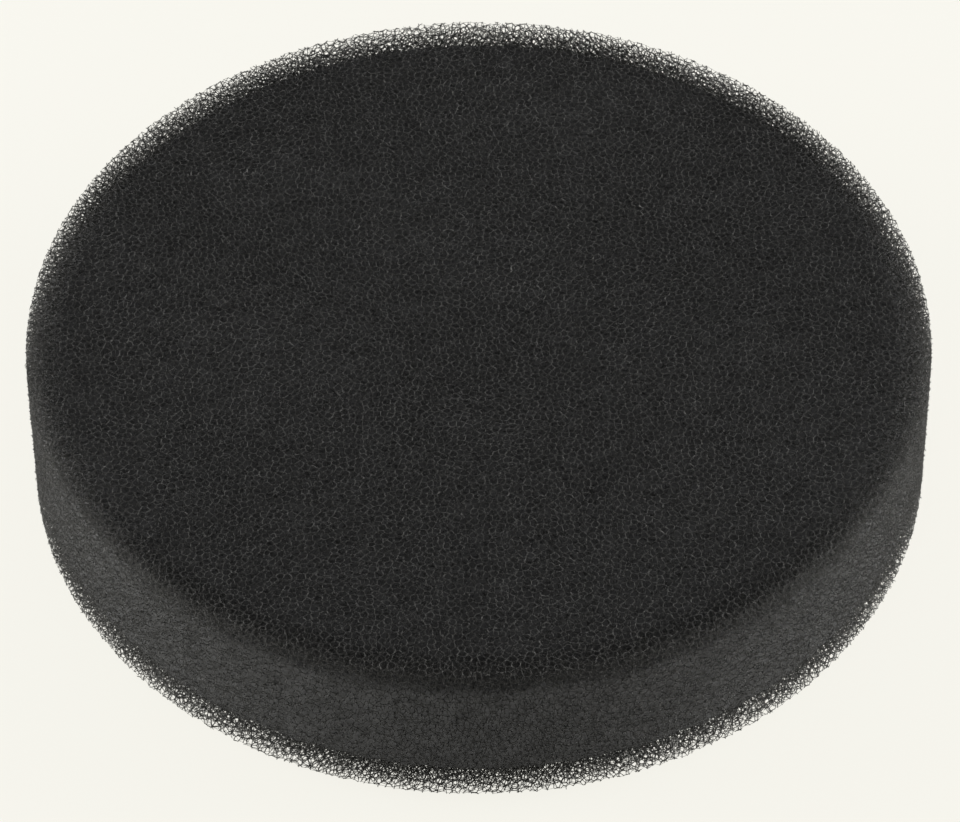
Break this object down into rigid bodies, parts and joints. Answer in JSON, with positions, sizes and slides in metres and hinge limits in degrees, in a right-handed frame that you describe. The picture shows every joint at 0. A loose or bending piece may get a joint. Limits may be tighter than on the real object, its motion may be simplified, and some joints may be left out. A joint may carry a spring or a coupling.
{
  "type": "polishing pad",
  "caption": "Round black open-cell foam polishing pad, 150 mm across, with a hook-and-loop backing of film, knitted ground and standing loops.",
  "frame": {"origin": "centre of the loop face, on the pad's underside", "axes": "+Z along the pad's axis, up and out of the working face; X and Y lie in the loop face, and the pad is round, so they have no marked direction"},
  "size_m": [0.15, 0.15, 0.0315],
  "materials": {
    "foam": "matte open-cell polyurethane foam, black",
    "film": "hot-melt film, milky amber",
    "ground": "knitted nylon ground, dark grey",
    "loops": "brushed nylon loops, dark grey"
  },
  "bodies": {
    "root": {"foam_disc": "foam", "adhesive_film": "film", "ground_cloth": "ground", "loop_pile": "loops"}
  },
  "joints": []
}
